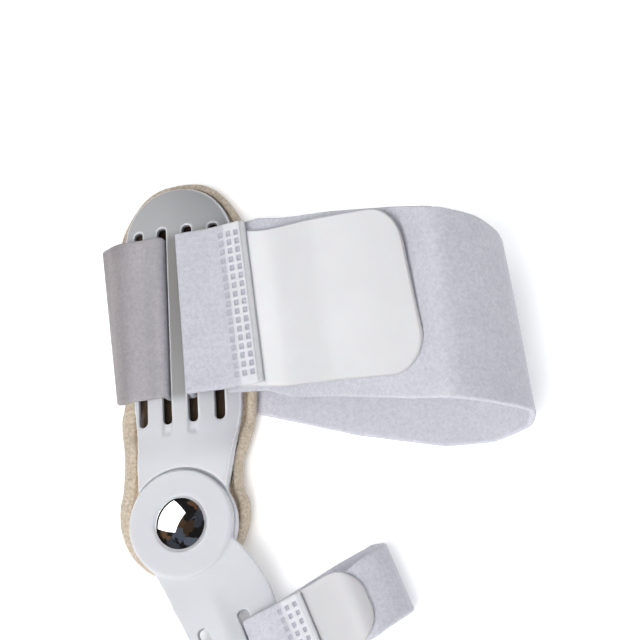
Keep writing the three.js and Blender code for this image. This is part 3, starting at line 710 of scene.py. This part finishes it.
def sweep(name, band, s, t, outer, inner, marks=None):  # the heights are over the middle, for each s and t
    upper = band.points(s[:, None], t[None, :], outer)
    lower = band.points(s[:, None], t[None, :], inner)
    rings = np.concatenate([upper, lower[:, -2:0:-1]], axis=1)
    obj = newObject(name, rings.reshape(-1, 3), ringFaces(*rings.shape[:2]))
    for key, values in (marks or {}).items():
        mark(obj, key, np.concatenate([values, values[:, -2:0:-1] * 0], axis=1))
    weave = obj.data.uv_layers.new(name="weave")  # millimetres along and across
    width = band.at(s, 3) - band.at(s, 2)
    across = np.concatenate([t, t[-2:0:-1]])
    uv = np.stack(np.broadcast_arrays(s[:, None], across[None, :] * width[:, None]), axis=-1).reshape(-1, 2)
    corner = np.empty(len(obj.data.loops), np.int32)
    obj.data.loops.foreach_get("vertex_index", corner)
    weave.data.foreach_set("uv", uv[corner].astype(np.float32).ravel())
    mesh = bmesh.new()
    mesh.from_mesh(obj.data)
    bmesh.ops.remove_doubles(mesh, verts=mesh.verts, dist=0.004)  # the thinned ends close
    bmesh.ops.recalc_face_normals(mesh, faces=mesh.faces)
    mesh.to_mesh(obj.data)
    mesh.free()
    return obj


def weldPlaces(s):  # the middles of the welded pits, along from the strap's end and across it
    weld = s["weld"]
    along = [weld["first"] + i * weld["columnPitch"] for i in range(weld["columns"])]
    start = (s["width"] * spanned - (weld["rows"] - 1) * weld["pitch"]) / 2
    return along, [start + i * weld["pitch"] for i in range(weld["rows"])]


def pitShape(distance, size):  # whole over a pit's floor and nothing from its rim on
    return 1 - smoothStep(distance, size * 0.34, size * 0.5)


def makeStrap(name, s, rows, toe=False):
    band = Band(bentPath(rows))
    weld, half = s["weld"], stack["strap"] / 2
    along, across = weldPlaces(s)
    slopes = (-0.5, -0.36, 0.36, 0.5)
    extraS = [a + k * weld["wide"] for a in along for k in slopes]
    extraS += [weld["flange"] * k for k in (0.5, 0.8, 1)]
    extraT = [a + k * weld["tall"] for a in across for k in slopes]
    places = stationsOf(band, s["step"], extraS, s["end"])
    share = columnsOf(s["width"] * spanned, 1.6, extraT, s["edge"])
    width = (band.at(places, 3) - band.at(places, 2))[:, None]
    fromEnd = np.minimum(places, band.total - places)[:, None]
    fromEdge = np.minimum(share, 1 - share)[None, :] * width
    thick = half * np.minimum(roundEdge(fromEdge, s["edge"]), roundEdge(fromEnd, s["end"]))
    pits = np.zeros_like(thick)
    for a, depth in zip(along, weld["shallow"]):
        inS = pitShape(np.abs(places - a), weld["wide"])
        for b in across:
            inT = pitShape(np.abs(share * s["width"] * spanned - b), weld["tall"])
            pits = np.maximum(pits, depth * weld["depth"] * inS[:, None] * inT[None, :])
    flange = weld["flangeDepth"] * (1 - smoothStep(places, weld["flange"] * 0.75, weld["flange"]))[:, None]
    free = smoothStep(places, band.total * 0.36, band.total * 0.5)  # only the loop is free to wave
    free = (free * (1 - smoothStep(places, band.total - s["reach"], band.total - s["reach"] * 0.72)))[:, None]
    wave = sum(high * np.sin(places[:, None] / length + share * skew + start)
               for high, length, skew, start in ripples)
    wave = s["wave"] * free * wave
    outer = thick + wave - np.minimum(pits + flange, thick * 1.5)
    leftward = -band.at(places, 0)
    # painted shade: the strap darkens from the left slot on, more where it wraps round the side
    leftShade = s["leftShade"][0] * smoothStep(leftward, -s["slotLeft"] - 1, -s["slotLeft"] + 1)
    leftShade = (leftShade + s["leftShade"][1] * smoothStep(leftward, 11, 20)) * (places < band.total * 0.3)
    last = weld["first"] + (weld["columns"] - 1.5) * weld["columnPitch"]
    pressed = 1 - smoothStep(places, last - 0.5, last + 0.9)
    rows = np.ones_like(thick)
    marks = {"leftShade": leftShade[:, None] * rows, "pressed": pressed[:, None] * rows,
             "flange": weld["flangeShade"] * (places < weld["flange"])[:, None] * rows}
    strap = placeOnFrame(sweep(name, band, places, share, outer, wave - thick, marks), toe)
    points = getPoints(strap)
    points[:, 2] = np.maximum(points[:, 2], 0.05 * mm)  # no wave dips into the table
    setPoints(strap, points)
    return strap, band


def makeTab(name, s, tab, band, toe=False):
    lift = stack["strap"] / 2 + tab["gap"] + tab["thickness"] / 2
    back = band.path[::-1]
    length = runLength(back)
    loop = back[length < s["reach"] * 1.3]
    dx, dz = np.gradient(loop[:, 0]), np.gradient(loop[:, 1])
    size = np.hypot(dx, dz)
    lifted = loop.copy()
    lifted[:, 0] -= dz / size * lift
    lifted[:, 1] += dx / size * lift
    start = s["endTip"] - s["endStart"] - tab["lap"]
    smoothed = smoothLine(lifted[:, :2], 160)
    length = runLength(smoothed)
    total = tab["lap"] + tab["length"]
    places = total * (1 - (1 - np.linspace(0, 1, 90)) ** 1.7)  # closer together towards the tip
    x, z = (np.interp(start + places, length, smoothed[:, k]) for k in (0, 1))
    left = total - places
    past = np.maximum(0, tab["corner"] - left)
    narrow = tab["corner"] - np.sqrt(np.maximum(0, tab["corner"] ** 2 - past**2))
    middle = s["middle"] + tab["skew"] * (x - s["endStart"])
    lean = np.full_like(x, s["endLean"])
    low, high = middle - tab["width"] / 2 + narrow, middle + tab["width"] / 2 - narrow
    sheet = Band(np.column_stack([x, z, low, high, lean])[::-1])  # reversed, so that outside stays outside
    places = sheet.length
    share = columnsOf(tab["width"], 1.2, [], tab["edge"])
    width = (sheet.at(places, 3) - sheet.at(places, 2))[:, None]
    side = np.minimum(share, 1 - share)[None, :] * width + narrow[::-1][:, None]
    tip = np.minimum(places, total)[:, None] + np.zeros_like(side)
    inCorner = (side < tab["corner"]) & (tip < tab["corner"])
    rounded = tab["corner"] - np.hypot(tab["corner"] - side, tab["corner"] - tip)
    distance = np.where(inCorner, np.maximum(0, rounded), np.minimum(side, tip))
    distance = np.minimum(distance, sheet.total - places[:, None])
    thick = tab["thickness"] / 2 * roundEdge(distance, tab["edge"])
    # painted shade along the tab
    tabShade = np.interp(places, (0, total), tab["tabShade"][::-1])[:, None] * np.ones_like(thick)
    obj = sweep(name, sheet, places, share, thick, -thick, {"tabShade": tabShade})
    return placeOnFrame(obj, toe)


# Node trees

def give(tree, made, inputs):  # sets numbers and colours, and links what comes out of another node
    for name, value in inputs.items():
        socket = made.inputs[name]
        if isinstance(value, bpy.types.NodeSocket):
            tree.links.new(value, socket)
        elif socket.type == "RGBA":
            socket.default_value = (*value, 1)
        else:
            socket.default_value = value
    return made


def node(tree, kind, inputs=None, **values):
    made = tree.nodes.new(kind)
    made.location = (200 * len(tree.nodes), 0)
    for key, value in values.items():
        setattr(made, key, value)
    return give(tree, made, inputs or {})


# Weld: Geometry Nodes lay out the melted dishes that line the pits, and the code bends them onto the strap

def weldTree():
    tree = bpy.data.node_groups.new("weld_dishes", "GeometryNodeTree")
    face = tree.interface
    face.new_socket("Geometry", in_out="OUTPUT", socket_type="NodeSocketGeometry")
    kinds = {"Rows": "Int", "Columns": "Int", "Material": "Material"}
    for name in ("Rows", "Columns", "Row pitch", "Column pitch", "Tall", "Wide", "Depth", "Material"):
        face.new_socket(name, in_out="INPUT", socket_type="NodeSocket" + kinds.get(name, "Float"))
    given = node(tree, "NodeGroupInput").outputs

    def reckon(operation, a, b=0):
        return node(tree, "ShaderNodeMath", {0: a, 1: b}, operation=operation).outputs[0]

    field = node(tree, "GeometryNodeMeshGrid", {
        "Size X": reckon("MULTIPLY", reckon("SUBTRACT", given["Columns"], 1), given["Column pitch"]),
        "Size Y": reckon("MULTIPLY", reckon("SUBTRACT", given["Rows"], 1), given["Row pitch"]),
        "Vertices X": given["Columns"], "Vertices Y": given["Rows"],
    })
    dish = node(tree, "GeometryNodeMeshGrid", {
        "Size X": given["Wide"], "Size Y": given["Tall"], "Vertices X": 6, "Vertices Y": 6,
    })
    place = node(tree, "GeometryNodeInputPosition").outputs[0]
    split = node(tree, "ShaderNodeSeparateXYZ", {0: place}).outputs
    shares = [reckon("DIVIDE", reckon("ABSOLUTE", split[axis]), given[size])
              for axis, size in (("X", "Wide"), ("Y", "Tall"))]
    rim = reckon("POWER", reckon("MULTIPLY", reckon("MAXIMUM", *shares), 2), 4)
    raised = node(tree, "ShaderNodeCombineXYZ", {"Z": reckon("MULTIPLY", rim, given["Depth"])}).outputs[0]
    shape = node(tree, "GeometryNodeSetPosition", {"Geometry": dish.outputs["Mesh"], "Offset": raised})
    laid = node(tree, "GeometryNodeInstanceOnPoints", {
        "Points": field.outputs["Mesh"], "Instance": shape.outputs["Geometry"],
    })
    real = node(tree, "GeometryNodeRealizeInstances", {0: laid.outputs[0]}).outputs[0]
    painted = node(tree, "GeometryNodeSetMaterial", {"Geometry": real, "Material": given["Material"]})
    node(tree, "NodeGroupOutput", {0: painted.outputs[0]})
    return tree


def makeWeld(name, s, band, tree, material, toe=False):
    weld = s["weld"]
    obj = newObject(name, [(0, 0, 0)], [])
    modifier = obj.modifiers.new("dishes", "NODES")
    modifier.node_group = tree
    values = {
        "Rows": weld["rows"], "Columns": weld["columns"], "Row pitch": weld["pitch"],
        "Column pitch": weld["columnPitch"], "Tall": weld["tall"] * 0.98, "Wide": weld["wide"] * 0.98,
        "Depth": weld["depth"] * 0.75, "Material": material,
    }
    for item in tree.interface.items_tree:
        if item.item_type == "SOCKET" and item.in_out == "INPUT":
            modifier[item.identifier] = values[item.name]
    settle(obj)
    points = getPoints(obj)
    along, across = weldPlaces(s)
    places = points[:, 0] + (along[0] + along[-1]) / 2
    share = (points[:, 1] + (across[0] + across[-1]) / 2) / (s["width"] * spanned)
    column = np.clip(np.round((places - along[0]) / weld["columnPitch"]), 0, weld["columns"] - 1).astype(int)
    shallow = np.array(weld["shallow"])[column]
    height = stack["strap"] / 2 - weld["depth"] * shallow + 0.03 + points[:, 2] * shallow
    setPoints(obj, band.points(places, share, height))
    return placeOnFrame(obj, toe)


# Materials

def newMaterial(name):
    material = bpy.data.materials.new(name)
    material.use_nodes = True
    tree = material.node_tree
    return material, tree, node(tree, "ShaderNodeTexCoord").outputs["Object"]


def coated(material, inputs):
    give(material.node_tree, material.node_tree.nodes["Principled BSDF"], inputs)
    return material


def noiseOn(tree, vector, scale, detail, rough=0.55):
    inputs = {"Scale": scale, "Detail": detail, "Roughness": rough, "Vector": vector}
    return node(tree, "ShaderNodeTexNoise", inputs).outputs["Fac"]


def rampOn(tree, factor, stops):
    made = node(tree, "ShaderNodeValToRGB", {"Fac": factor})
    elements = made.color_ramp.elements
    while len(elements) < len(stops):
        elements.new(0.5)
    for element, (place, colour) in zip(elements, stops):
        element.position = place
        element.color = (*colour, 1)
    return made.outputs["Color"]


def cloudOn(tree, place, scale, detail, dark, light=(1, 1, 1)):  # goes softly between two tones
    return rampOn(tree, noiseOn(tree, place, scale, detail), [(0.3, dark), (0.7, light)])


def rangeOn(tree, value, low, high, start=0.0, end=1.0, kind="LINEAR"):
    inputs = {"Value": value, "From Min": low, "From Max": high, "To Min": start, "To Max": end}
    return node(tree, "ShaderNodeMapRange", inputs, interpolation_type=kind).outputs["Result"]


def bumpOn(tree, height, strength, distance):
    inputs = {"Strength": strength, "Distance": distance, "Height": height}
    return node(tree, "ShaderNodeBump", inputs).outputs["Normal"]


def mapped(tree, source, scale):
    return node(tree, "ShaderNodeMapping", {"Scale": scale, "Vector": source}).outputs["Vector"]


def markOn(tree, name):
    return node(tree, "ShaderNodeAttribute", attribute_name=name).outputs["Fac"]


def blend(tree, factor, first, second, kind="MIX"):
    inputs = {0: factor, 6: first, 7: second}
    return node(tree, "ShaderNodeMix", inputs, data_type="RGBA", blend_type=kind).outputs[2]


def times(tree, first, second):
    return blend(tree, 1.0, first, second, "MULTIPLY")


def plasticMaterial():  # satin moulded plastic, cool grey white, with painted shade towards the heel and on the middle bar, and painted highlights on its rims
    material, tree, place = newMaterial("satin_plastic")
    along = node(tree, "ShaderNodeSeparateXYZ", {0: place}).outputs["Y"]
    # painted shade: the plate greys towards the heel
    heel = rangeOn(tree, along, hubPoint.y + 0.016, hubPoint.y + 0.075, kind="SMOOTHSTEP")
    pale, grey = footPlate["palest"], footPlate["heelShadeTone"]
    tone = blend(tree, heel, (pale, pale * 1.01, pale * 1.05), (grey, grey * 1.005, grey * 1.02))
    tone = times(tree, tone, cloudOn(tree, place, 60, 3, (0.95, 0.95, 0.95)))
    # painted shade on the middle bar
    tone = blend(tree, markOn(tree, "bar_shade"), tone, times(tree, tone, (0.52, 0.505, 0.48)))
    return coated(material, {
        # painted highlight on the rims
        "Base Color": blend(tree, markOn(tree, "rim"), tone, (0.88, 0.885, 0.91)),
        "Roughness": rangeOn(tree, noiseOn(tree, place, 240, 3), 0, 1, 0.34, 0.46),
        "Normal": bumpOn(tree, noiseOn(tree, place, 2600, 2), 0.12, 0.00006),
        "IOR": 1.48, "Subsurface Weight": 0.08, "Subsurface Scale": 0.002,
    })


def strapMaterial():  # brushed nylon loop cloth, faintly lilac, with painted shade, browner and streaky, on the main strap's left piece
    material, tree, place = newMaterial("brushed_loop_cloth")
    weave = node(tree, "ShaderNodeUVMap", uv_map="weave").outputs["UV"]
    fibre = noiseOn(tree, mapped(tree, weave, (2.2, 3.4, 1)), 1.0, 6, 0.7)
    tuft = noiseOn(tree, place, 900, 5, 0.65)
    nap = node(tree, "ShaderNodeMix", {0: 0.5, 2: fibre, 3: tuft}, data_type="FLOAT").outputs[0]
    fine = rampOn(tree, nap, [(0.32, (0.53, 0.525, 0.575)), (0.58, (0.735, 0.73, 0.785))])
    tone = times(tree, fine, cloudOn(tree, place, 120, 3, (0.94, 0.94, 0.95)))
    # painted shade, brownish and streaky, on the main strap's left piece
    streaks = noiseOn(tree, mapped(tree, weave, (0.14, 0.012, 1)), 1.0, 2, 0.5)
    drawn = rampOn(tree, streaks, [(0.32, (0.43, 0.385, 0.355)), (0.68, (0.62, 0.565, 0.535))])
    tone = blend(tree, markOn(tree, "leftShade"), tone, times(tree, tone, drawn))
    tone = blend(tree, markOn(tree, "pressed"), tone, (0.83, 0.83, 0.86))
    return coated(material, {
        "Base Color": blend(tree, markOn(tree, "flange"), tone, (0.6, 0.6, 0.61)),
        "Normal": bumpOn(tree, nap, 0.5, 0.0003),
        "Roughness": 0.92, "Sheen Weight": 0.2, "Sheen Roughness": 0.5, "Specular IOR Level": 0.25,
    })


def tabMaterial():  # smooth back of the hook tape, with painted shade
    material, tree, place = newMaterial("hook_tape_back")
    # painted shade: the tab greys where the mark is high
    tone = blend(tree, markOn(tree, "tabShade"), (0.80, 0.795, 0.805), (0.63, 0.625, 0.635))
    return coated(material, {
        "Base Color": times(tree, tone, cloudOn(tree, place, 45, 3, (0.95, 0.95, 0.95))),
        "Normal": bumpOn(tree, noiseOn(tree, place, 1500, 3), 0.1, 0.00006),
        "Roughness": 0.33, "IOR": 1.75, "Subsurface Weight": 0.15, "Subsurface Scale": 0.0015,
    })


def weldMaterial():  # melted nylon at the bottom of the pits
    material, tree, place = newMaterial("melted_nylon")
    tone = cloudOn(tree, place, 1200, 3, (0.40, 0.40, 0.46), (0.52, 0.52, 0.58))
    return coated(material, {"Base Color": tone, "Roughness": 0.35})


def padMaterial():  # beige velour, mottled, with painted shadow, near black brown, where the plates cover it
    material, tree, place = newMaterial("beige_velour")
    mottle = noiseOn(tree, place, 1150, 4, 0.65)
    stops = [(0.32, (0.52, 0.42, 0.31)), (0.5, (0.69, 0.585, 0.455)), (0.68, (0.82, 0.73, 0.61))]
    tone = times(tree, rampOn(tree, mottle, stops), cloudOn(tree, place, 70, 2, (0.96, 0.95, 0.93)))
    return coated(material, {
        # painted shadow: near black brown under the plates
        "Base Color": blend(tree, markOn(tree, "plate_shadow"), tone, (0.085, 0.055, 0.035)),
        "Normal": bumpOn(tree, noiseOn(tree, place, 2200, 4, 0.7), 0.6, 0.0004),
        "Roughness": 0.95, "Sheen Weight": 0.35, "Sheen Roughness": 0.4, "Specular IOR Level": 0.2,
    })


def chromeMaterial():
    material, tree, place = newMaterial("polished_chrome")
    tone = cloudOn(tree, place, 500, 3, (0.83, 0.82, 0.82), (0.88, 0.87, 0.87))
    return coated(material, {"Base Color": tone, "Metallic": 1, "Roughness": 0.05})


def paint(obj, material):
    obj.data.materials.clear()
    obj.data.materials.append(material)


# Studio

studio = {
    "eye": (164.27, -83.86, 480), "forward": (-0.23592, 0.28029, -0.93047), "up": (0.12698, 0.95818, 0.25644),
    "field": 21.426, "shift": (-0.00266, -0.0011), "floor": 3, "fill": 0.3, "floorGlow": 0.57,
    "lights": (
        ("name", "at", "size", "power", "diffuse", "glossy"),
        ("key", (-0.18, -0.42, 0.87), 0.62, 6.8, True, False),
        ("top", (0.15, 0.05, 1.2), 0.9, 1.6, True, False),
        ("glint", (-0.6, 0.36, 0.62), 1.2, 10.5, False, True),
    ),
}


def makeCamera():
    camera = bpy.data.objects.new("camera", bpy.data.cameras.new("camera"))
    bpy.context.scene.collection.objects.link(camera)
    forward, up = Vector(studio["forward"]).normalized(), Vector(studio["up"]).normalized()
    right = forward.cross(up)
    turn = Matrix((right, up, -forward)).transposed().to_4x4()
    camera.matrix_world = Matrix.Translation(hubPoint + Vector(studio["eye"]) * mm) @ turn
    camera.data.lens = camera.data.sensor_width / 2 / math.tan(math.radians(studio["field"]) / 2)
    camera.data.shift_x, camera.data.shift_y = studio["shift"]
    camera.data.clip_start = 0.01
    bpy.context.scene.camera = camera


def makeLight(spec):
    light = bpy.data.objects.new(spec["name"], bpy.data.lights.new(spec["name"], "AREA"))
    light.data.size = spec["size"]
    light.data.energy = spec["power"]
    light.location = spec["at"]
    light.rotation_euler = (-Vector(spec["at"])).to_track_quat("-Z", "Y").to_euler()
    light.visible_diffuse = spec["diffuse"]
    light.visible_glossy = spec["glossy"]
    bpy.context.scene.collection.objects.link(light)


def makeFloor():
    reach = studio["floor"]
    corners = [(-reach, -reach, 0), (reach, -reach, 0), (reach, reach, 0), (-reach, reach, 0)]
    floor = newObject("floor", corners, [(0, 1, 2, 3)])
    material, tree, place = newMaterial("pale_floor")
    shade = node(tree, "ShaderNodeAmbientOcclusion", {"Distance": 0.02}, samples=8).outputs["AO"]
    far = node(tree, "ShaderNodeVectorMath", {0: place}, operation="LENGTH").outputs["Value"]
    level = rangeOn(tree, far, 0.2, 0.8, studio["floorGlow"], 1.0)  # brighter where the lamps don't reach
    glow = node(tree, "ShaderNodeMath", {0: shade, 1: level}, operation="MULTIPLY").outputs[0]
    paint(floor, coated(material, {
        "Base Color": (0.97, 0.97, 0.97), "Roughness": 0.9, "Specular IOR Level": 0.1,
        "Emission Color": (1, 1, 1), "Emission Strength": glow,
    }))
    floor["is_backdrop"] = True


def makeWorld():  # white to the eye, soft grey as a light, and a dim room in reflections
    world = bpy.data.worlds.new("studio")
    bpy.context.scene.world = world
    world.use_nodes = True
    tree = world.node_tree
    seen = give(tree, tree.nodes["Background"], {"Color": (1, 1, 1)})
    fill = node(tree, "ShaderNodeBackground", {"Color": (0.9, 0.93, 1), "Strength": studio["fill"]})
    place = node(tree, "ShaderNodeTexCoord").outputs["Generated"]
    ragged = node(tree, "ShaderNodeTexNoise", {"Scale": 5, "Vector": place}).outputs["Color"]
    shifted = blend(tree, 0.22, place, ragged, "LINEAR_LIGHT")
    patches = node(tree, "ShaderNodeTexVoronoi", {"Scale": 2.1, "Vector": shifted}).outputs["Color"]
    patch = node(tree, "ShaderNodeSeparateColor", {0: patches}).outputs[0]
    tone = rampOn(tree, patch, [
        (0, (0.01, 0.01, 0.011)), (0.3, (0.02, 0.017, 0.014)), (0.42, (0.15, 0.085, 0.045)),
        (0.55, (0.02, 0.019, 0.018)), (0.7, (0.1, 0.12, 0.16)), (0.82, (0.015, 0.014, 0.014))])
    height = node(tree, "ShaderNodeSeparateXYZ", {0: place}).outputs["Z"]
    high = rangeOn(tree, height, 0.12, 0.42, kind="SMOOTHSTEP")
    tone = blend(tree, high, (0.01, 0.009, 0.009), tone)
    room = node(tree, "ShaderNodeBackground", {"Color": tone}).outputs[0]
    ray = node(tree, "ShaderNodeLightPath").outputs
    lit = {0: ray["Is Glossy Ray"], 1: fill.outputs[0], 2: room}
    lit = node(tree, "ShaderNodeMixShader", lit).outputs[0]
    shown = {0: ray["Is Camera Ray"], 1: lit, 2: seen.outputs[0]}
    shown = node(tree, "ShaderNodeMixShader", shown).outputs[0]
    give(tree, tree.nodes["World Output"], {"Surface": shown})
    bpy.context.scene.view_settings.view_transform = "Standard"


makeCamera()
makeWorld()
makeFloor()
for spec in tableOf(studio["lights"]):
    makeLight(spec)
print("studio ready")

plastic = plasticMaterial()
cloth = strapMaterial()
tape = tabMaterial()
melted = weldMaterial()
velour = padMaterial()
chrome = chromeMaterial()
print("materials ready")

footShell = makeFootPlate()
toeShell = makeToePlate()
dome = makeRivet()
print("plates and rivet ready")

cushion = makePad()
print("pad ready")

onFace = stack["clearance"] + stack["strap"] / 2  # the straps' middle over what they lie on
mainRows = strapRows(mainStrap, footFace, mainWrap(), footFace(15) + onFace)
toeRows = strapRows(toeStrap, armFace, toeWrap(), armFace(16) + onFace + 0.6)
mainLoop, mainBand = makeStrap("main_strap_cloth", mainStrap, mainRows)
toeLoop, toeBand = makeStrap("toe_strap_cloth", toeStrap, toeRows, toe=True)
mainHook = makeTab("main_tab_tape", mainStrap, mainTab, mainBand)
toeHook = makeTab("toe_tab_tape", toeStrap, toeTab, toeBand, toe=True)
dishes = weldTree()
mainWeld = makeWeld("main_weld", mainStrap, mainBand, dishes, melted)
toeWeld = makeWeld("toe_weld", toeStrap, toeBand, dishes, melted, toe=True)
print("straps, tabs and welds ready")

for obj, material, body, slot, nodeName in (
    (footShell, plastic, "foot", "plate", "foot_plate"), (toeShell, plastic, "toe", "plate", "toe_plate"),
    (dome, chrome, "foot", "chrome", "rivet"), (cushion, velour, "foot", "pad", "pad"),
    (mainLoop, cloth, "foot", "strap", "main_strap"), (toeLoop, cloth, "toe", "strap", "toe_strap"),
    (mainHook, tape, "foot", "tab", "main_tab"), (toeHook, tape, "toe", "tab", "toe_tab"),
    (mainWeld, melted, "foot", "strap", None), (toeWeld, melted, "toe", "strap", None),
):
    paint(obj, material)
    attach(obj, body)
    if nodeName:
        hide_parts(nodeName)

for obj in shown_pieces():
    print(obj.name, len(obj.data.polygons), "faces")
